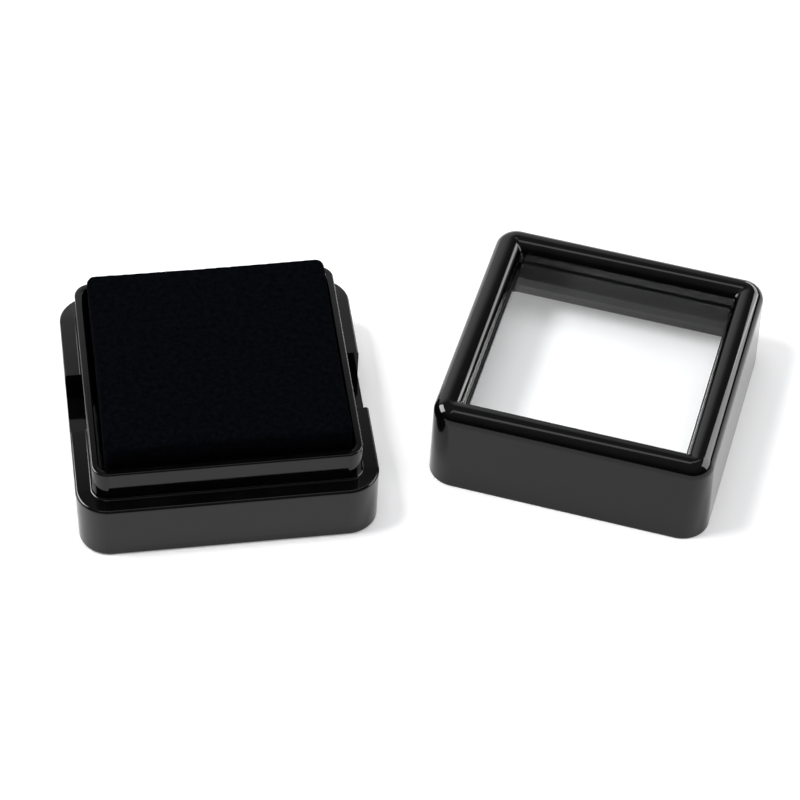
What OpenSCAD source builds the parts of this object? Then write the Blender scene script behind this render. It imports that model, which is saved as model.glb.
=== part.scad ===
// Square display box for one loose gemstone: a moulded tray with a raised rim, a velvet pad on foam
// that sits in the tray, and a lid with a clear window. The lid is off and stands beside the tray.
// Millimetres, +Z up. The origin is the centre of the tray's underside, and the tray is square to X and Y.

/* [Base] */
// Width and depth of the base across the top of its flange
base_w = 30; // [24:0.5:45]
// Height of the flange's top face above the table
flange_h = 6.5; // [5:0.1:10]
// Slope of the base's outer walls, which narrow towards the foot, in degrees
base_draft = 1; // [0:0.25:3]
// Radius on the flange's outer edge and on the foot's edge
base_edge_r = 0.3; // [0.1:0.05:0.5]
// Thickness of the tray's floor
floor_t = 1.2; // [0.8:0.1:2]
// Radius of the upright corners inside the tray
tray_corner_r = 0.8; // [0.5:0.1:2]

/* [Rim] */
// Height of the rim above the flange
rim_h = 3.5; // [2.5:0.1:5]
// Thickness of the rim's wall
rim_wall = 0.8; // [0.6:0.05:1]
// Radius on the rim's two top edges
rim_edge_r = 0.2; // [0.05:0.05:0.25]
// Fillet where the rim rises from the flange
rim_fillet_r = 0.25; // [0.1:0.05:0.4]

/* [Finger notches] */
// Length of each notch along the side of the base
notch_l = 7.7; // [5:0.1:14]
// Height of the notch's floor above the table
notch_floor_h = 3.2; // [2:0.1:4.5]

/* [Pad] */
// Clearance between the pad and the rim's inner wall
pad_gap = 0.3; // [0.2:0.05:0.6]
// Height of the pad's upper edge above the rim
pad_rise = 2.2; // [0.5:0.1:2.5]
// Rise of the pad's middle above its upper edge
pad_crown = 0.1; // [0:0.05:0.5]
// How far each side of the pad draws in at the middle of its length
pad_draw = 0.1; // [0:0.02:0.2]
// Radius of the pad's upper edge
pad_edge_r = 0.4; // [0.2:0.05:1.2]
// How much rounder the pad's upright corners are than the tray's
pad_corner_ease = 0.3; // [0.2:0.05:1]
// Thickness of the velvet over the foam
velvet_t = 0.6; // [0.3:0.05:0.65]

/* [Lid] */
// Height of the lid
lid_h = 10.15; // [9:0.05:14]
// How far the lid's foot stands in from the edge of the base when the box is shut
lid_setback = 0.5; // [0:0.05:0.7]
// Thickness of the lid's walls
lid_wall = 0.8; // [0.7:0.05:1.1]
// Clearance between the rim and the lid's walls at their foot
lid_gap = 0.4; // [0.3:0.05:0.6]
// Slope of the lid's walls, which narrow towards the top, in degrees
lid_draft = 2.7; // [0:0.1:3]
// Radius of the half-round bead round the top of the lid
bead_r = 1.2; // [1:0.05:1.4]
// Height of the plain lip between the bead and the sill under it
lip_h = 1; // [0.6:0.05:1.2]
// Least radius of the upright corners inside the lip
lip_corner_r = 0.05; // [0.05:0.05:0.5]
// Reach of the sill beyond the lip, towards the middle of the window
sill_w = 0.55; // [0.3:0.05:0.8]
// Fall of the sill's sloping upper face
sill_drop = 0.25; // [0.1:0.05:0.4]
// Height of the sill's inner edge
sill_edge = 0.4; // [0.3:0.05:0.6]
// Bevel inside the foot that leads the lid over the rim
lead_in = 0.4; // [0.1:0.05:0.5]

/* [Window] */
// Thickness of the clear window
pane_t = 1; // [0.6:0.1:1.5]
// Clearance between the window's edge and the lid's walls
pane_gap = 0.1; // [0.05:0.05:0.3]

/* [Lid beside the base] */
// Clear distance along X between the base and the lid
stand_off = 5.95; // [2:0.05:15]
// Distance along Y from the base's centre to the lid's centre
lid_y = -1.1; // [-5:0.1:5]
// Turn of the lid about the upright, in degrees
lid_turn = -23.9; // [-45:0.1:45]

/* [Hidden] */
$fn = 64;

// Room that a cutting solid takes beyond the face that it cuts
cut = 1;
// The lid's upright corner radius and the lean of its walls are kept to steps of these
radius_step = 0.1;
lean_step = 0.001;
// Steps in each small rounded edge of a section
edge_steps = 5;

// The flange is as wide as the lid's wall and its clearances, and the corners share one axis
ledge = lid_setback + lid_wall + lid_gap;
base_corner_r = ledge + rim_wall + tray_corner_r;
rim_w = base_w - 2 * ledge;
tray_w = rim_w - 2 * rim_wall;
rim_top = flange_h + rim_h;
base_slope = tan(base_draft);

// The pad stands on the tray's floor
pad_w = tray_w - 2 * pad_gap;
pad_top = rim_top + pad_rise;
pad_corner_r = tray_corner_r + pad_corner_ease;
// Least radius of the foam's upper edge
foam_edge_r = 0.1;
// Points along each straight side, in each upright corner, over the upper edge and across the top
pad_side_points = 6;
pad_corner_points = 5;
pad_edge_rings = 4;
pad_top_rings = 4;

// The lid's section: how far in the bead's centre, the lip and the sill's edge lie, and how high
lid_w = base_w - 2 * lid_setback;
lid_slope = tan(lid_draft);
bead_z = lid_h - bead_r;
lean_at_bead = round(bead_z * lid_slope / lean_step) * lean_step;
bead_in = lean_at_bead + bead_r;
lip_in = bead_in + bead_r;
sill_in = lip_in + sill_w;
lip_z = bead_z - lip_h;
sill_z = lip_z - sill_drop - sill_edge;
lid_corner_r = ceil((lip_in + lip_corner_r) / radius_step) * radius_step;
inner_at_sill = lid_wall + round(sill_z * lid_slope / lean_step) * lean_step;

// The window lies against the underside of the sill
pane_in = inner_at_sill + pane_gap;
pane_w = lid_w - 2 * pane_in;
pane_r = lid_corner_r - pane_in;

// Reach of the turned lid along X, from its centre
lid_reach = (lid_w / 2 - lid_corner_r) * (cos(lid_turn) + abs(sin(lid_turn))) + lid_corner_r;
lid_x = base_w / 2 + stand_off + lid_reach;

// Points of an arc about a centre
function arc(centre, r, from, to, steps) =
    [for (i = [0:steps]) let (a = from + (to - from) * i / steps) centre + r * [cos(a), sin(a)]];

// A section carried round a square of width w with corners of radius r. In the section, x runs
// inwards from the outer face and y is the height.
module carried_round(w, r) {
    side = w / 2 - r;
    for (turn = [0:90:270])
        rotate([0, 0, turn]) {
            translate([side, w / 2, 0])
                rotate([90, 0, -90])
                    linear_extrude(2 * side)
                        children();
            translate([side, side, 0])
                rotate_extrude(angle = 90)
                    translate([r, 0])
                        mirror([1, 0])
                            children();
        }
}

// Upright plate of a square with rounded corners
module rounded_plate(w, r, t) {
    side = w / 2 - r;
    linear_extrude(t)
        union() {
            square([w, 2 * side], center = true);
            square([2 * side, w], center = true);
            for (x = [-side, side], y = [-side, side])
                translate([x, y])
                    circle(r);
        }
}

// Section of the base's wall: foot, drafted outer wall, flange and rim
module base_section() {
    e = base_edge_r;
    foot_in = flange_h * base_slope;
    rim_out = ledge;
    rim_in = ledge + rim_wall;
    outline = concat(
        [[rim_in, 0]],
        arc([foot_in + e, e], e, 270, 180 + base_draft, edge_steps),
        arc([e, flange_h - e], e, 180 + base_draft, 90, edge_steps),
        arc([rim_out - rim_fillet_r, flange_h + rim_fillet_r], rim_fillet_r, 270, 360, edge_steps),
        arc([rim_out + rim_edge_r, rim_top - rim_edge_r], rim_edge_r, 180, 90, edge_steps),
        arc([rim_in - rim_edge_r, rim_top - rim_edge_r], rim_edge_r, 90, 0, edge_steps)
    );
    polygon(outline);
}

module base_shell() {
    floor_w = tray_w + rim_wall;
    color("#0b0b0d")
        difference() {
            union() {
                carried_round(base_w, base_corner_r)
                    base_section();
                translate([-floor_w / 2, -floor_w / 2, 0])
                    cube([floor_w, floor_w, floor_t]);
            }
            for (turn = [0, 180])
                rotate([0, 0, turn])
                    translate([rim_w / 2, -notch_l / 2, notch_floor_h])
                        cube([ledge + cut, notch_l, rim_top - notch_floor_h]);
        }
}

// Outline of the pad at half-width a: straight sides that draw in, and round corners of radius r
function pad_outline(a, r, draw) = [
    for (turn = [0:90:270])
        let (c = cos(turn), s = sin(turn), side = a - r)
            for (p = concat(
                [for (i = [0:pad_side_points])
                    let (y = side * (2 * i / pad_side_points - 1), k = y / side)
                        [a - draw * (1 - k * k), y]],
                [for (i = [1:pad_corner_points - 1])
                    [side, side] + r * [cos(90 * i / pad_corner_points), sin(90 * i / pad_corner_points)]]))
                [c * p[0] - s * p[1], s * p[0] + c * p[1]]
];

// Height of the crown above the upper edge at a point of the top
function crown_at(p, a) = pad_crown * (1 - pow(p[0] / a, 2)) * (1 - pow(p[1] / a, 2));

// Rings of the pad's form, inset evenly, from the floor over the upper edge to the middle of the top
function pad_rings(inset) =
    let (
        a = pad_w / 2 - inset,
        top = pad_top - inset,
        r = pad_corner_r - inset,
        e = max(pad_edge_r - inset, foam_edge_r)
    )
    concat(
        [[for (p = pad_outline(a, r, pad_draw)) [p[0], p[1], floor_t]]],
        [for (i = [0:pad_edge_rings])
            let (t = 90 * i / pad_edge_rings, k = (a - e * (1 - cos(t))) / a)
                [for (p = pad_outline(a, r, pad_draw))
                    [k * p[0], k * p[1], top - e * (1 - sin(t)) + crown_at(k * p, a) * sin(t)]]],
        [for (i = [1:pad_top_rings])
            let (k = (a - e) / a * (1 - i / (pad_top_rings + 1)))
                [for (p = pad_outline(a, r, pad_draw))
                    [k * p[0], k * p[1], top + crown_at(k * p, a)]]]
    );

function reversed(rows) = [for (i = [len(rows) - 1:-1:0]) rows[i]];

function middle_of(ring) = [for (j = [0:2]) [for (p = ring) p[j]] * [for (p = ring) 1] / len(ring)];

// Closed solid through a row of rings, with a fan of triangles over its first and last ring
module ring_solid(rings) {
    n = len(rings[0]);
    last = len(rings) - 1;
    first_pole = n * len(rings);
    points = concat([for (ring = rings) each ring], [middle_of(rings[0]), middle_of(rings[last])]);
    faces = concat(
        [for (k = [0:last - 1], i = [0:n - 1])
            let (j = (i + 1) % n)
                each [[k * n + i, (k + 1) * n + i, (k + 1) * n + j], [k * n + i, (k + 1) * n + j, k * n + j]]],
        [for (i = [0:n - 1]) [first_pole, i, (i + 1) % n]],
        [for (i = [0:n - 1]) [first_pole + 1, last * n + (i + 1) % n, last * n + i]]
    );
    polyhedron(points, faces);
}

module pad_foam() {
    color("#2b2b2e")
        ring_solid(pad_rings(velvet_t));
}

// The velvet runs down the outside of the foam to the tray's floor
module pad_velvet() {
    color("#08090c")
        ring_solid(concat(reversed(pad_rings(0)), pad_rings(velvet_t)));
}

// Section of the lid's wall: bevelled foot, drafted walls, lip and half-round bead
module lid_section() {
    outline = [
        [0, 0],
        [lean_at_bead, bead_z],
        [lip_in, bead_z],
        [lip_in, sill_z],
        [inner_at_sill, sill_z],
        [lid_wall + lead_in * lid_slope, lead_in],
        [lid_wall - lead_in, 0]
    ];
    polygon(outline);
    translate([bead_in, bead_z])
        intersection() {
            circle(bead_r);
            translate([-bead_r, 0])
                square([2 * bead_r, bead_r]);
        }
}

// Four straight bars under the lip that carry the window, with a sloping upper face. They meet in mitres.
module sill() {
    outline = [
        [bead_in, sill_z],
        [sill_in, sill_z],
        [sill_in, sill_z + sill_edge],
        [lip_in, lip_z],
        [bead_in, lip_z]
    ];
    reach = lid_w / 2 - bead_in;
    for (turn = [0:90:270])
        rotate([0, 0, turn])
            translate([reach, lid_w / 2, 0])
                rotate([90, 0, -90])
                    linear_extrude(2 * reach)
                        polygon(outline);
}

module in_lid_place() {
    translate([lid_x, lid_y, 0])
        rotate([0, 0, lid_turn])
            children();
}

module lid_frame() {
    color("#0b0b0d")
        in_lid_place()
            union() {
                carried_round(lid_w, lid_corner_r)
                    lid_section();
                sill();
            }
}

module window_pane() {
    color("#e4ecee", 0.3)
        in_lid_place()
            translate([0, 0, sill_z - pane_t])
                rounded_plate(pane_w, pane_r, pane_t);
}

base_shell();
pad_foam();
pad_velvet();
lid_frame();
window_pane();
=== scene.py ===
"""Looks of a small gemstone display box: polished black mouldings, a velvet pad and a clear window."""

import math

import bmesh
import bpy
from mathutils import Matrix, Vector, noise


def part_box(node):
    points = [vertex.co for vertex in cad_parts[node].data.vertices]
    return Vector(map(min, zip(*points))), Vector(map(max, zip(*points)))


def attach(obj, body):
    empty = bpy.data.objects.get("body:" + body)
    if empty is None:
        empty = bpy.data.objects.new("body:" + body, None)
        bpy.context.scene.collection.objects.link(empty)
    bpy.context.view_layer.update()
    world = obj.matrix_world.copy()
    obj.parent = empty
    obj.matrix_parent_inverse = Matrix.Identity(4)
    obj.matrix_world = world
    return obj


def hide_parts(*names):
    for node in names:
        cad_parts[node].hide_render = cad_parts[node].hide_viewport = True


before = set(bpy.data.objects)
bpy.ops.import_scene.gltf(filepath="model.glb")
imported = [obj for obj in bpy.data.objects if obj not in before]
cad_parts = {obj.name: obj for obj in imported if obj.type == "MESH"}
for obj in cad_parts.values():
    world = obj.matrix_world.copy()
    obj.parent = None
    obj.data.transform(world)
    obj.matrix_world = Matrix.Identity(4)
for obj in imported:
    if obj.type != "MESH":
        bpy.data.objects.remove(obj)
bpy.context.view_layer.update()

MM = 0.001

# Sizes in millimetres. Those that the part's source also has are the same there, apart from the lid's bead,
# lip, sill and upper corners and the pad's corners, which follow the photograph more closely
FLANGE_H = 6.5
LEDGE = 1.7
RIM_WALL = 0.8
FLOOR_T = 1.2
TRAY_CORNER_R = 0.8
BASE_DRAFT = math.radians(1.0)
BASE_EDGE_R = 0.3
RIM_EDGE_R = 0.2
RIM_FILLET_R = 0.25
NOTCH_L = 7.7
NOTCH_FLOOR_H = 3.2
NOTCH_EDGE_R = 0.12

LID_W = 29.0
LID_TURN = math.radians(-23.9)
LID_DRAFT = math.radians(2.7)
LID_WALL = 0.8
LID_FOOT_CORNER_R = 2.9
LID_TOP_CORNER_R = 2.5
LID_LEAD_IN = 0.4
LID_FOOT_R = 0.15
LID_INNER_CORNER_R = 0.25
BEAD_CREST_IN = 1.72
BEAD_OUTER_R = 1.5
BEAD_INNER_R = 1.42
BEAD_UNDER_CAD = 0.08
LIP_Z = 7.78
LIP_EDGE_R = 0.06
SILL_IN = 3.372
SILL_DROP = 0.03
SILL_EDGE_R = 0.02
PANE_GAP = 0.1
PANE_EDGE_R = 0.08

PAD_EDGE_R = 0.4
PAD_CORNER_R = 0.9
PAD_CROWN = 0.1
PAD_DRAW = 0.1
PAD_SHIFT = (0.15, 0.15)
VELVET_T = 0.6
FOAM_EDGE_R = 0.1
FOAM_GAP = 0.02
PILE_DEPTH = 0.06

# Steps of the rounds, the least angle of a sharp edge, and the slack for heights held in single precision
CORNER_STEPS = 20
EDGE_STEPS = 6
BEAD_STEPS = 24
SHARP_FROM = math.radians(50)
HEIGHT_SLACK = 0.001

# Places that the lamps face, and the strength of white light that is added to what is seen of the floor
OBJECT_MIDDLE_MM = (28.7, 0, 5)
LID_TOP_MM = (39, -1, 9)
FLOOR_LIFT = 0.25

# The camera, fitted to the outlines of the base and the lid in the photograph
IMAGE_PX = 800
FOCAL_PX = 3129.25
SENSOR_MM = 36.0
CAMERA_AT_MM = (-17.940, -215.954, 236.433)
CAMERA_YAW = math.radians(9.660)
CAMERA_PITCH = math.radians(46.823)
CAMERA_ROLL = math.radians(2.348)


def box_mm(node):
    """Lowest and highest corner of a CAD node, in millimetres."""
    low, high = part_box(node)
    return low / MM, high / MM


BASE_LOW, BASE_HIGH = box_mm("base_shell")
LID_LOW, LID_HIGH = box_mm("lid_frame")
PANE_LOW, PANE_HIGH = box_mm("window_pane")
PAD_LOW, PAD_HIGH = box_mm("pad_velvet")

BASE_W = BASE_HIGH.x - BASE_LOW.x
RIM_TOP = BASE_HIGH.z
BASE_CORNER_R = LEDGE + RIM_WALL + TRAY_CORNER_R
LID_H = LID_HIGH.z
LID_MIDDLE = (LID_LOW + LID_HIGH) / 2
LID_PLACE = Matrix.Translation((LID_MIDDLE.x, LID_MIDDLE.y, 0)) @ Matrix.Rotation(LID_TURN, 4, "Z")
LID_LEAN = math.tan(LID_DRAFT)
BEAD_TOP = LID_H - BEAD_UNDER_CAD
SILL_Z = PANE_HIGH.z
INNER_AT_SILL = LID_WALL + SILL_Z * LID_LEAN


# Meshes

def rounded_outline(corners):
    """Points of an outline in a plane, from corners of (x, y, radius, steps) with straight sides between."""
    outline = []
    for i, (x, y, radius, steps) in enumerate(corners):
        corner = Vector((x, y))
        to_last = (Vector(corners[i - 1][:2]) - corner).normalized()
        to_next = (Vector(corners[(i + 1) % len(corners)][:2]) - corner).normalized()
        if not radius:
            outline.append(tuple(corner))
            continue
        half = to_last.angle(to_next) / 2
        centre = corner + (to_last + to_next).normalized() * radius / math.sin(half)
        first = corner + to_last * radius / math.tan(half) - centre
        last = corner + to_next * radius / math.tan(half) - centre
        sweep = math.atan2(first.x * last.y - first.y * last.x, first.dot(last))
        start = math.atan2(first.y, first.x)
        for k in range(steps + 1):
            angle = start + sweep * k / steps
            outline.append((centre.x + radius * math.cos(angle), centre.y + radius * math.sin(angle)))
    return outline


def carried_round(section, width, corner_r_at, closed, inner_r=0.0):
    """Vertices and faces of a section carried round a square, and its first and last ring. In the section,
    x runs inwards from the outer face and y is the height. Outside, corners have the radius for their height,
    and it gets less inwards until it is the inner one."""
    vertices = []
    for quarter in range(4):
        turn = math.pi / 2 * quarter
        for step in range(CORNER_STEPS + 1):
            angle = turn + math.pi / 2 * step / CORNER_STEPS
            for inwards, height in section:
                reach = max(corner_r_at(height) - inwards, inner_r)
                axis = width / 2 - inwards - reach
                vertices.append((
                    axis * (math.cos(turn) - math.sin(turn)) + reach * math.cos(angle),
                    axis * (math.sin(turn) + math.cos(turn)) + reach * math.sin(angle),
                    height,
                ))
    count = len(section)
    rings = len(vertices) // count
    faces = []
    for ring in range(rings):
        this, other = ring * count, (ring + 1) % rings * count
        for k in range(count if closed else count - 1):
            after = (k + 1) % count
            faces.append((this + k, other + k, other + after, this + after))
    first_ring = [ring * count for ring in range(rings)]
    last_ring = [ring * count + count - 1 for ring in range(rings)]
    return vertices, faces, first_ring, last_ring


def mesh_object(name, vertices, faces, place=Matrix.Identity(4)):
    """An object from vertices in millimetres, in metres and in place, with its faces turned outwards."""
    mesh = bpy.data.meshes.new(name)
    mesh.from_pydata([tuple(place @ Vector(v) * MM) for v in vertices], [], faces)
    built = bmesh.new()
    built.from_mesh(mesh)
    bmesh.ops.remove_doubles(built, verts=built.verts, dist=1e-5 * MM)
    bmesh.ops.recalc_face_normals(built, faces=built.faces)
    built.to_mesh(mesh)
    built.free()
    obj = bpy.data.objects.new(name, mesh)
    bpy.context.scene.collection.objects.link(obj)
    return obj


def polished(obj):
    """Smooth shading that leaves broad faces flat."""
    mesh = obj.data
    mesh.polygons.foreach_set("use_smooth", [True] * len(mesh.polygons))
    mesh.set_sharp_from_angle(angle=SHARP_FROM)
    weighted = obj.modifiers.new("flat_faces", "WEIGHTED_NORMAL")
    weighted.keep_sharp = True
    weighted.weight = 100


def base_section():
    """Foot, drafted outer wall, flange and rim, from the underside to the tray's floor."""
    foot_in = FLANGE_H * math.tan(BASE_DRAFT)
    rim_in = LEDGE + RIM_WALL
    return rounded_outline([
        (rim_in, 0, 0, 0),
        (foot_in, 0, BASE_EDGE_R, EDGE_STEPS),
        (0, FLANGE_H, BASE_EDGE_R, EDGE_STEPS),
        (LEDGE, FLANGE_H, RIM_FILLET_R, EDGE_STEPS),
        (LEDGE, RIM_TOP, RIM_EDGE_R, EDGE_STEPS),
        (rim_in, RIM_TOP, RIM_EDGE_R, EDGE_STEPS),
        (rim_in, FLOOR_T, 0, 0),
    ])


def cut_notch(obj, direction):
    """Cuts a finger notch out of the flange on the side of -X or +X."""
    rim_half = BASE_W / 2 - LEDGE
    reach = [direction * rim_half, direction * BASE_W]
    length = [-NOTCH_L / 2, NOTCH_L / 2]
    height = [NOTCH_FLOOR_H, RIM_TOP]
    corners = [(x, y, z) for x in reach for y in length for z in height]
    faces = [(0, 1, 3, 2), (4, 6, 7, 5), (0, 4, 5, 1), (2, 3, 7, 6), (0, 2, 6, 4), (1, 5, 7, 3)]
    cutter = mesh_object("notch_cutter", corners, faces)
    cut = obj.modifiers.new("notch", "BOOLEAN")
    cut.operation = "DIFFERENCE"
    cut.solver = "EXACT"
    cut.object = cutter
    bpy.context.view_layer.update()
    evaluated = obj.evaluated_get(bpy.context.evaluated_depsgraph_get())
    mesh = bpy.data.meshes.new_from_object(evaluated)
    obj.modifiers.clear()
    obj.data = mesh
    bpy.data.objects.remove(cutter)


def ease_notch_edges(obj):
    """Rounds the outer edges of the notches a little, as a mould does."""
    built = bmesh.new()
    built.from_mesh(obj.data)
    beyond_rim = (BASE_W / 2 - LEDGE + RIM_FILLET_R) * MM
    end = NOTCH_L / 2 * MM
    floor = NOTCH_FLOOR_H * MM
    slack = 0.002 * MM
    least_turn = math.radians(60)
    chosen = []
    for edge in built.edges:
        if len(edge.link_faces) != 2 or edge.calc_face_angle_signed(0) < least_turn:
            continue
        points = [v.co for v in edge.verts]
        on_end = all(abs(abs(p.y) - end) < slack and p.z > floor - slack for p in points)
        on_floor = all(abs(p.z - floor) < slack and abs(p.y) < end + slack for p in points)
        if (on_end or on_floor) and max(abs(p.x) for p in points) > beyond_rim:
            chosen.append(edge)
    bmesh.ops.bevel(
        built,
        geom=chosen,
        offset=NOTCH_EDGE_R * MM,
        segments=3,
        profile=0.5,
        affect="EDGES",
        clamp_overlap=True,
    )
    built.to_mesh(obj.data)
    built.free()


def make_base():
    """The base's moulding, with its two finger notches."""
    vertices, faces, underside, tray_floor = carried_round(
        base_section(), BASE_W, lambda height: BASE_CORNER_R, closed=False
    )
    base = mesh_object("base_moulding", vertices, faces + [tuple(underside), tuple(tray_floor)])
    cut_notch(base, -1)
    cut_notch(base, 1)
    ease_notch_edges(base)
    polished(base)
    return base


def lid_corner_r(height):
    """Corner radius of the lid's walls, which is tighter towards the bead."""
    share = min(height / LIP_Z, 1)
    return LID_FOOT_CORNER_R + share * (LID_TOP_CORNER_R - LID_FOOT_CORNER_R)


def bead_points():
    """Points of the bead's round from the outer wall over its crest to the lip."""
    points = []
    for k in range(2 * BEAD_STEPS + 1):
        tilt = math.pi / 2 * (1 - k / BEAD_STEPS)
        radius = BEAD_OUTER_R if tilt > 0 else BEAD_INNER_R
        points.append((BEAD_CREST_IN - radius * math.sin(tilt), BEAD_TOP - radius * (1 - math.cos(tilt))))
    return points


def lid_section():
    """Bevelled foot, drafted wall, round bead, and a narrow sill over the window."""
    return rounded_outline([
        (0, 0, LID_FOOT_R, EDGE_STEPS),
        *((inwards, height, 0, 0) for inwards, height in bead_points()),
        (BEAD_CREST_IN + BEAD_INNER_R, LIP_Z, LIP_EDGE_R, EDGE_STEPS),
        (SILL_IN, LIP_Z - SILL_DROP, SILL_EDGE_R, EDGE_STEPS),
        (SILL_IN, SILL_Z, 0, 0),
        (INNER_AT_SILL, SILL_Z, LIP_EDGE_R, EDGE_STEPS),
        (LID_WALL + LID_LEAD_IN * LID_LEAN, LID_LEAD_IN, LIP_EDGE_R, EDGE_STEPS),
        (LID_WALL - LID_LEAD_IN, 0, LIP_EDGE_R, EDGE_STEPS),
    ])


def make_lid():
    """The lid's moulding."""
    vertices, faces, _, _ = carried_round(
        lid_section(), LID_W, lid_corner_r, closed=True, inner_r=LID_INNER_CORNER_R
    )
    lid = mesh_object("lid_moulding", vertices, faces, LID_PLACE)
    polished(lid)
    return lid


def make_pane():
    """The window: a flat sheet with eased edges."""
    inwards = INNER_AT_SILL + PANE_GAP
    width = LID_W - 2 * inwards
    corner_r = lid_corner_r(PANE_HIGH.z) - inwards
    section = rounded_outline([
        (corner_r / 2, PANE_LOW.z, 0, 0),
        (0, PANE_LOW.z, PANE_EDGE_R, EDGE_STEPS),
        (0, PANE_HIGH.z, PANE_EDGE_R, EDGE_STEPS),
        (corner_r / 2, PANE_HIGH.z, 0, 0),
    ])
    vertices, faces, under, top = carried_round(section, width, lambda height: corner_r, closed=False)
    pane = mesh_object("window_sheet", vertices, faces + [tuple(under), tuple(top)], LID_PLACE)
    polished(pane)
    return pane


def graded(half, fine, fine_to, coarse):
    """Places from -half to half, in fine steps near both ends and coarse steps between."""
    near = [half - fine * k for k in range(round(fine_to / fine))]
    inner = half - fine_to
    count = max(round(2 * inner / coarse), 1)
    middle = [inner - 2 * inner * k / count for k in range(count + 1)]
    places = near + middle + [-x for x in reversed(near)]
    return list(reversed(places))


def block_faces(places, heights):
    """Grid of a block's top and four sides, open below: vertices, faces and the loop of its lower edge."""
    index = {}
    vertices, faces = [], []
    across, down = len(places) - 1, len(heights) - 1

    def at(i, j, k):
        """Vertex at grid place i, j and k rows below the top."""
        if (i, j, k) not in index:
            index[i, j, k] = len(vertices)
            vertices.append(Vector((places[i], places[j], heights[k])))
        return index[i, j, k]

    for i in range(across):
        for j in range(across):
            faces.append((at(i, j, 0), at(i + 1, j, 0), at(i + 1, j + 1, 0), at(i, j + 1, 0)))
    edge = [(i, 0) for i in range(across)] + [(across, j) for j in range(across)]
    edge += [(across - i, across) for i in range(across)] + [(0, across - j) for j in range(across)]
    for (i, j), (m, n) in zip(edge, edge[1:] + edge[:1]):
        for k in range(down):
            faces.append((at(i, j, k), at(i, j, k + 1), at(m, n, k + 1), at(m, n, k)))
    lower_loop = [at(i, j, down) for i, j in edge]
    return vertices, faces, lower_loop


def pad_point(p, half, top, edge_r, corner_r):
    """A point of a square block moved onto the pad's form, which has round edges and corners, a low crown and
    drawn-in sides."""
    core = half - corner_r
    kept = Vector((max(-core, min(core, p.x)), max(-core, min(core, p.y))))
    out = Vector((p.x, p.y)) - kept
    if out.length > 0:
        out *= max(abs(out.x), abs(out.y)) / out.length
    reach, height = out.length, p.z
    below = top - p.z
    on_side = below > HEIGHT_SLACK
    turned = None
    if on_side and below < edge_r:
        turned = (1 + below / edge_r) / 2
    elif not on_side and reach > corner_r - edge_r:
        turned = (1 - (corner_r - reach) / edge_r) / 2
    if turned is not None:
        angle = turned * math.pi / 2
        height = top - edge_r + edge_r * math.cos(angle)
        out *= (corner_r - edge_r + edge_r * math.sin(angle)) / reach
    q = Vector((kept.x + out.x, kept.y + out.y, height))
    share_x, share_y = q.x / half, q.y / half
    high = max(0.0, min(1.0, (q.z - top + edge_r) / edge_r))
    q.z += PAD_CROWN * (1 - share_x * share_x) * (1 - share_y * share_y) * high * high
    q.x -= PAD_DRAW * share_x ** 5 * (1 - share_y * share_y)
    q.y -= PAD_DRAW * share_y ** 5 * (1 - share_x * share_x)
    return q + Vector((*PAD_SHIFT, 0))


def pile_offset(p):
    """How far the velvet's pile stands out or lies down at a point, from -1 to 1."""
    tufts = noise.noise(p * 2.6)
    tips = noise.noise(p * 7.0 + Vector((3, 8, 5)))
    nap = noise.noise(p * 0.45 + Vector((7, 3, 1)))
    return 0.5 * tufts + 0.3 * tips + 0.2 * nap


def side_heights(low, top, edge_r, rows):
    """Heights of a pad's side from its upper edge down: fine round the edge, and even rows below it."""
    edge = [top - edge_r * k / EDGE_STEPS for k in range(EDGE_STEPS)]
    under = top - edge_r
    return edge + [under - (under - low) * k / rows for k in range(rows + 1)]


def make_velvet():
    """The velvet cover: a shell with a ruffled pile outside, open at the tray's floor."""
    half = (PAD_HIGH.x - PAD_LOW.x) / 2
    top = PAD_HIGH.z - PAD_CROWN
    low = PAD_LOW.z
    outer_half, outer_top = half - PILE_DEPTH, top - PILE_DEPTH
    places = graded(outer_half, fine=0.07, fine_to=0.7, coarse=0.2)
    outer, faces, outer_loop = block_faces(places, side_heights(low, outer_top, PAD_EDGE_R, rows=30))
    outer = [pad_point(p, outer_half, outer_top, PAD_EDGE_R, PAD_CORNER_R) for p in outer]
    shell = mesh_object("velvet_outer", outer, faces)
    normals = [v.normal.copy() for v in shell.data.vertices]
    bpy.data.objects.remove(shell)
    ruffled = []
    for p, n in zip(outer, normals):
        stands = PILE_DEPTH * pile_offset(p) if p.z > low + PAD_EDGE_R else 0.0
        ruffled.append(p + n * stands)
    inner_half, inner_top = half - VELVET_T, top - VELVET_T
    inner_places = graded(inner_half, fine=0.1, fine_to=0.3, coarse=1.0)
    inner_heights = side_heights(low, inner_top, FOAM_EDGE_R, rows=6)
    inner, inner_faces, inner_loop = block_faces(inner_places, inner_heights)
    inner = [pad_point(p, inner_half, inner_top, FOAM_EDGE_R, PAD_CORNER_R - VELVET_T) for p in inner]
    start = len(ruffled)
    faces += [tuple(start + k for k in reversed(face)) for face in inner_faces]
    hem = hem_faces(ruffled, outer_loop, inner, inner_loop, start)
    velvet = mesh_object("velvet_cover", ruffled + inner, faces + hem)
    velvet.data.polygons.foreach_set("use_smooth", [True] * len(velvet.data.polygons))
    return velvet


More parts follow.
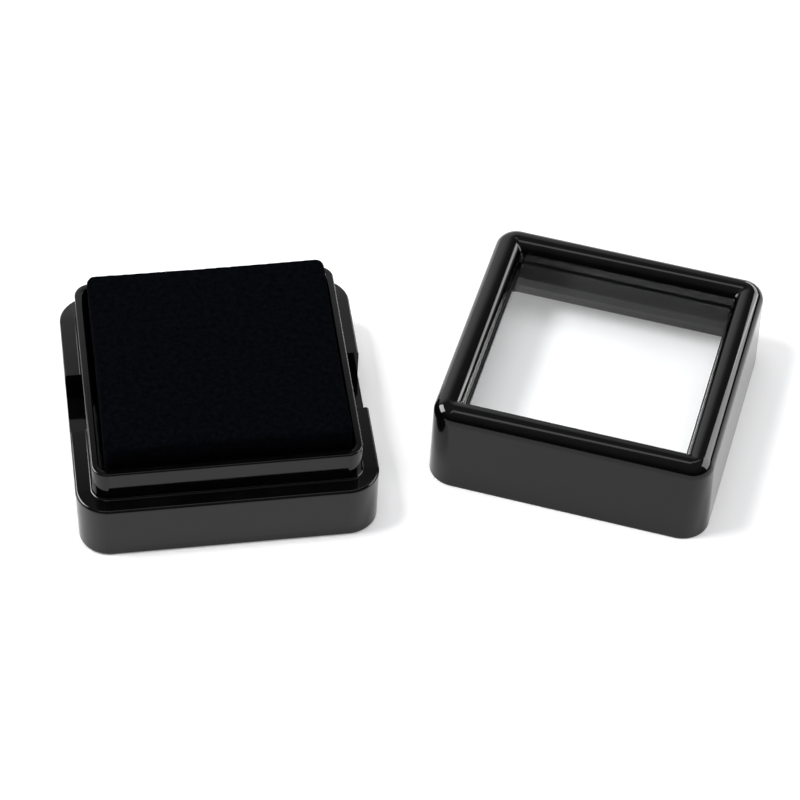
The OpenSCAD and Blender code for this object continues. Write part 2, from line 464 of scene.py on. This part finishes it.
def hem_faces(outer, outer_loop, inner, inner_loop, start):
    """Triangles between two loops of different counts that run the same way round."""
    def shares(points, loop):
        """Place of each loop point along the loop, by angle about the middle, from 0 to 1."""
        angles = [math.atan2(points[k].y, points[k].x) for k in loop]
        return [(angle - angles[0]) % (2 * math.pi) / (2 * math.pi) for angle in angles] + [1.0]

    a_at, b_at = shares(outer, outer_loop), shares(inner, inner_loop)
    faces, a, b = [], 0, 0
    while a < len(outer_loop) or b < len(inner_loop):
        here_a = outer_loop[a % len(outer_loop)]
        here_b = start + inner_loop[b % len(inner_loop)]
        if b == len(inner_loop) or (a < len(outer_loop) and a_at[a + 1] <= b_at[b + 1]):
            faces.append((here_a, outer_loop[(a + 1) % len(outer_loop)], here_b))
            a += 1
        else:
            faces.append((here_a, start + inner_loop[(b + 1) % len(inner_loop)], here_b))
            b += 1
    return faces


def make_foam():
    """The foam block under the velvet."""
    half = (PAD_HIGH.x - PAD_LOW.x) / 2 - VELVET_T - FOAM_GAP
    top = PAD_HIGH.z - PAD_CROWN - VELVET_T - FOAM_GAP
    places = graded(half, fine=0.1, fine_to=0.3, coarse=0.6)
    points, faces, loop = block_faces(places, side_heights(PAD_LOW.z, top, FOAM_EDGE_R, rows=10))
    points = [pad_point(p, half, top, FOAM_EDGE_R, PAD_CORNER_R - VELVET_T) for p in points]
    foam = mesh_object("foam_block", points, faces + [tuple(reversed(loop))])
    foam.data.polygons.foreach_set("use_smooth", [True] * len(foam.data.polygons))
    foam.data.set_sharp_from_angle(angle=SHARP_FROM)
    return foam


# Materials

def material(name):
    """A new material, its node tree and its surface shader."""
    made = bpy.data.materials.new(name)
    made.use_nodes = True
    tree = made.node_tree
    return made, tree, tree.nodes["Principled BSDF"]


def add(tree, kind, **settings):
    """A node with its properties and inputs set. An input is named by its socket, with _ for a space."""
    node = tree.nodes.new(kind)
    for key, value in settings.items():
        if hasattr(node, key):
            setattr(node, key, value)
        else:
            node.inputs[key.replace("_", " ")].default_value = value
    return node


def noise_value(tree, scale, detail=2.0, roughness=0.5):
    """Output of a noise texture in the object's own space, with scale in waves per metre."""
    place = add(tree, "ShaderNodeTexCoord")
    texture = add(tree, "ShaderNodeTexNoise", Scale=scale, Detail=detail, Roughness=roughness)
    tree.links.new(place.outputs["Object"], texture.inputs["Vector"])
    return texture.outputs["Fac"]


def ranged(tree, value, low, high, source_low=0.3, source_high=0.7):
    """A value stretched from its source range to low and high."""
    node = add(tree, "ShaderNodeMapRange", From_Min=source_low, From_Max=source_high, To_Min=low, To_Max=high)
    tree.links.new(value, node.inputs["Value"])
    return node.outputs["Result"]


def two_colours(tree, value, dark, pale):
    """A colour between two, by a value from 0.3 to 0.7."""
    ramp = add(tree, "ShaderNodeValToRGB")
    ramp.color_ramp.elements[0].position = 0.3
    ramp.color_ramp.elements[0].color = (*dark, 1)
    ramp.color_ramp.elements[1].position = 0.7
    ramp.color_ramp.elements[1].color = (*pale, 1)
    tree.links.new(value, ramp.inputs["Fac"])
    return ramp.outputs["Color"]


def grey_ramp(tree, value, stops):
    """A grey between stops of (place, grey), by a value from 0 to 1. The end stops are at 0 and 1."""
    ramp = add(tree, "ShaderNodeValToRGB")
    elements = ramp.color_ramp.elements
    for place, _ in stops[1:-1]:
        elements.new(place)
    for element, (place, grey) in zip(elements, stops):
        element.position = place
        element.color = (grey, grey, grey, 1)
    tree.links.new(value, ramp.inputs["Fac"])
    return ramp.outputs["Color"]


def bumped(tree, height, distance, strength, below=None):
    """A bumped normal, on top of another one if given."""
    bump = add(tree, "ShaderNodeBump", Strength=strength, Distance=distance)
    tree.links.new(height, bump.inputs["Height"])
    if below is not None:
        tree.links.new(below, bump.inputs["Normal"])
    return bump.outputs["Normal"]


def black_plastic():
    """Polished black moulding: faint waves from the mould, and a finish that is a little uneven."""
    made, tree, shader = material("black_plastic")
    shader.inputs["IOR"].default_value = 1.46
    shader.inputs["Specular IOR Level"].default_value = 0.34
    clouds = noise_value(tree, scale=400, detail=4)
    colour = two_colours(tree, clouds, dark=(0.0008, 0.0008, 0.001), pale=(0.002, 0.002, 0.0023))
    tree.links.new(colour, shader.inputs["Base Color"])
    finish = ranged(tree, noise_value(tree, scale=900, detail=5, roughness=0.6), low=0.05, high=0.1)
    tree.links.new(finish, shader.inputs["Roughness"])
    waves = bumped(tree, noise_value(tree, scale=110, detail=1), distance=0.00012, strength=0.25)
    grain = noise_value(tree, scale=2600)
    skin = bumped(tree, grain, distance=0.000004, strength=0.25, below=waves)
    tree.links.new(skin, shader.inputs["Normal"])
    return made


def velvet():
    """Short black pile: mottled with painted sheen where it lies in different ways, paler at the tips seen
    from the side.
    """
    made, tree, shader = material("velvet")
    shader.inputs["Specular IOR Level"].default_value = 0.0
    shader.inputs["Sheen Weight"].default_value = 0.012
    shader.inputs["Sheen Roughness"].default_value = 0.4
    shader.inputs["Sheen Tint"].default_value = (0.8, 0.85, 1.0, 1)
    # The paler patches of this mottle in the base colour are painted sheen of pile lying in different ways
    mottle = noise_value(tree, scale=1800, detail=6, roughness=0.7)
    colour = two_colours(tree, mottle, dark=(0.0008, 0.0009, 0.0013), pale=(0.003, 0.0033, 0.0046))
    tree.links.new(colour, shader.inputs["Base Color"])
    tree.links.new(ranged(tree, mottle, low=0.85, high=1.0), shader.inputs["Roughness"])
    pile = noise_value(tree, scale=5200, detail=3, roughness=0.6)
    tree.links.new(bumped(tree, pile, distance=0.00012, strength=0.8), shader.inputs["Normal"])
    return made


def foam():
    """Dark open foam with small cells, painted darker in their hollows as painted shade."""
    made, tree, shader = material("foam")
    shader.inputs["Specular IOR Level"].default_value = 0.2
    place = add(tree, "ShaderNodeTexCoord")
    cells = add(tree, "ShaderNodeTexVoronoi", Scale=2200)
    tree.links.new(place.outputs["Object"], cells.inputs["Vector"])
    depth = cells.outputs["Distance"]
    # Painted shade: the colour is darker towards the cells' hollows, where the bump sinks
    colour = two_colours(tree, depth, dark=(0.008, 0.008, 0.009), pale=(0.045, 0.045, 0.048))
    tree.links.new(colour, shader.inputs["Base Color"])
    tree.links.new(ranged(tree, depth, low=0.8, high=1.0), shader.inputs["Roughness"])
    tree.links.new(bumped(tree, depth, distance=0.0002, strength=0.8), shader.inputs["Normal"])
    return made


def clear_sheet():
    """Clear polished sheet with the least waviness."""
    made, tree, shader = material("clear_sheet")
    shader.inputs["Base Color"].default_value = (0.985, 0.99, 0.99, 1)
    shader.inputs["Transmission Weight"].default_value = 1.0
    shader.inputs["IOR"].default_value = 1.5
    haze = ranged(tree, noise_value(tree, scale=300, detail=3), low=0.0, high=0.012)
    tree.links.new(haze, shader.inputs["Roughness"])
    waves = bumped(tree, noise_value(tree, scale=60, detail=1), distance=0.00002, strength=0.15)
    tree.links.new(waves, shader.inputs["Normal"])
    return made


def white_floor():
    """Matt white floor. What the camera, reflections and glass see of it is lifted to white."""
    made = bpy.data.materials.new("white_floor")
    made.use_nodes = True
    tree = made.node_tree
    tree.nodes.clear()
    output = add(tree, "ShaderNodeOutputMaterial")
    paper = add(tree, "ShaderNodeBsdfDiffuse")
    clouds = noise_value(tree, scale=40, detail=3)
    tint = two_colours(tree, clouds, dark=(0.85, 0.85, 0.86), pale=(0.87, 0.87, 0.88))
    tree.links.new(tint, paper.inputs["Color"])
    glow = add(tree, "ShaderNodeEmission")
    path = add(tree, "ShaderNodeLightPath")
    seen = path.outputs["Is Camera Ray"]
    for ray in ("Is Glossy Ray", "Is Transmission Ray"):
        larger = add(tree, "ShaderNodeMath", operation="MAXIMUM")
        tree.links.new(seen, larger.inputs[0])
        tree.links.new(path.outputs[ray], larger.inputs[1])
        seen = larger.outputs[0]
    strength = add(tree, "ShaderNodeMath", operation="MULTIPLY")
    strength.inputs[1].default_value = FLOOR_LIFT
    tree.links.new(seen, strength.inputs[0])
    tree.links.new(strength.outputs[0], glow.inputs["Strength"])
    both = add(tree, "ShaderNodeAddShader")
    tree.links.new(paper.outputs[0], both.inputs[0])
    tree.links.new(glow.outputs[0], both.inputs[1])
    tree.links.new(both.outputs[0], output.inputs["Surface"])
    return made


# Stage

def make_floor():
    """A plain floor just under the object."""
    half = 2.0
    below = -0.00001
    mesh = bpy.data.meshes.new("floor")
    corners = [(-half, -half, below), (half, -half, below), (half, half, below), (-half, half, below)]
    mesh.from_pydata(corners, [], [(0, 1, 2, 3)])
    floor = bpy.data.objects.new("floor", mesh)
    bpy.context.scene.collection.objects.link(floor)
    mesh.materials.append(white_floor())


def panel(name, at_mm, facing_mm, size_mm, radiance, lights=True, mirrored=True):
    """A soft rectangular light at a place, facing another, with its width level. Radiance sets how bright it
    looks, whatever its size. It lights matt surfaces, is mirrored in polished ones, or both."""
    light = bpy.data.lights.new(name, "AREA")
    light.shape = "RECTANGLE"
    light.size = size_mm[0] * MM
    light.size_y = size_mm[1] * MM
    light.energy = radiance * math.pi * light.size * light.size_y
    lamp = bpy.data.objects.new(name, light)
    lamp.location = Vector(at_mm) * MM
    lamp.rotation_mode = "QUATERNION"
    lamp.rotation_quaternion = (Vector(at_mm) - Vector(facing_mm)).to_track_quat("Z", "Y")
    lamp.visible_camera = False
    lamp.visible_diffuse = lights
    lamp.visible_glossy = mirrored
    bpy.context.scene.collection.objects.link(lamp)
    return lamp


def fade(lamp, along, upwards):
    """Grades a panel's light along its width and its height, each by stops of (place, share) from 0 to 1."""
    lamp.data.use_nodes = True
    tree = lamp.data.node_tree
    place = add(tree, "ShaderNodeNewGeometry")
    split = add(tree, "ShaderNodeSeparateXYZ")
    tree.links.new(place.outputs["Parametric"], split.inputs[0])
    product = add(tree, "ShaderNodeMath", operation="MULTIPLY")
    tree.links.new(grey_ramp(tree, split.outputs["X"], along), product.inputs[0])
    tree.links.new(grey_ramp(tree, split.outputs["Y"], upwards), product.inputs[1])
    tree.links.new(product.outputs[0], tree.nodes["Emission"].inputs["Strength"])


def around(middle_mm, azimuth, elevation, distance_mm):
    """A place at a distance from a middle. Azimuth is from +X towards +Y, in degrees."""
    a, e = math.radians(azimuth), math.radians(elevation)
    out = Vector((math.cos(a) * math.cos(e), math.sin(a) * math.cos(e), math.sin(e)))
    return tuple(Vector(middle_mm) + out * distance_mm)


def make_floor_lights():
    """A high key from the left, a broad fill from above and a weak counter light, which aren't mirrored."""
    middle = OBJECT_MIDDLE_MM
    panel("key", around(middle, 180, 62, 900), middle, (200, 200), radiance=38.0, mirrored=False)
    panel("fill", around(middle, 0, 88, 900), middle, (600, 600), radiance=3.0, mirrored=False)
    panel("counter", around(middle, -20, 40, 900), middle, (200, 200), radiance=8.0, mirrored=False)


def make_mirrored_lights():
    """Lamps left and right and a strip above, which the plastic mirrors, and a graded wall behind."""
    lid = LID_TOP_MM
    panel("side_left", around(lid, 165, 28, 150), lid, (86, 68), radiance=17.0, lights=False)
    panel("side_right", (92, -10, 47), (60, -10, 47), (62, 56), radiance=7.0, lights=False)
    panel("side_right_far", (95, 65, 33), (60, 65, 33), (90, 22), radiance=7.0, lights=False)
    panel("strip_above", around(lid, 131, 85, 400), lid, (500, 42), radiance=2.4, lights=False)
    wall = panel("back_wall", (-20, 130, 70), (-20, 0, 70), (300, 200), radiance=1.3)
    fade(
        wall,
        along=[(0.0, 0.0), (0.3, 0.8), (0.6, 1.0), (1.0, 0.0)],
        upwards=[(0.0, 0.0), (0.35, 1.0), (0.65, 1.0), (1.0, 0.0)],
    )


def make_world():
    """Dim room, darkest near the floor."""
    world = bpy.data.worlds.new("room")
    world.use_nodes = True
    tree = world.node_tree
    background = tree.nodes["Background"]
    place = add(tree, "ShaderNodeTexCoord")
    split = add(tree, "ShaderNodeSeparateXYZ")
    tree.links.new(place.outputs["Generated"], split.inputs[0])
    strength = ranged(tree, split.outputs["Z"], low=0.03, high=0.27, source_low=0.3, source_high=0.9)
    background.inputs["Color"].default_value = (0.97, 0.98, 1.0, 1)
    tree.links.new(strength, background.inputs["Strength"])
    bpy.context.scene.world = world


def make_camera():
    """The camera at the photograph's view."""
    yaw, pitch = CAMERA_YAW, CAMERA_PITCH
    ahead = Vector((math.sin(yaw) * math.cos(pitch), math.cos(yaw) * math.cos(pitch), -math.sin(pitch)))
    right = Vector((math.cos(yaw), -math.sin(yaw), 0))
    up = right.cross(ahead)
    c, s = math.cos(CAMERA_ROLL), math.sin(CAMERA_ROLL)
    right, up = c * right + s * up, c * up - s * right
    camera = bpy.data.cameras.new("camera")
    camera.sensor_width = SENSOR_MM
    camera.lens = FOCAL_PX / IMAGE_PX * SENSOR_MM
    camera.clip_start = 0.01
    camera.clip_end = 10
    eye = bpy.data.objects.new("camera", camera)
    turn = Matrix((right, up, -ahead)).transposed().to_4x4()
    eye.matrix_world = Matrix.Translation(Vector(CAMERA_AT_MM) * MM) @ turn
    bpy.context.scene.collection.objects.link(eye)
    bpy.context.scene.camera = eye


def dress(obj, body, node, look):
    """Gives a piece its material and body, and hides the CAD node that it stands for."""
    obj.data.materials.clear()
    obj.data.materials.append(look)
    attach(obj, body)
    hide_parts(node)
    return obj


plastic = black_plastic()
dress(make_base(), "base", "base_shell", plastic)
dress(make_lid(), "lid", "lid_frame", plastic)
pane = dress(make_pane(), "lid", "window_pane", clear_sheet())
pane.visible_shadow = False
pane.visible_diffuse = False
dress(make_velvet(), "pad", "pad_velvet", velvet())
dress(make_foam(), "pad", "pad_foam", foam())

make_floor()
make_floor_lights()
make_mirrored_lights()
make_world()
make_camera()
bpy.context.scene.view_settings.view_transform = "Standard"
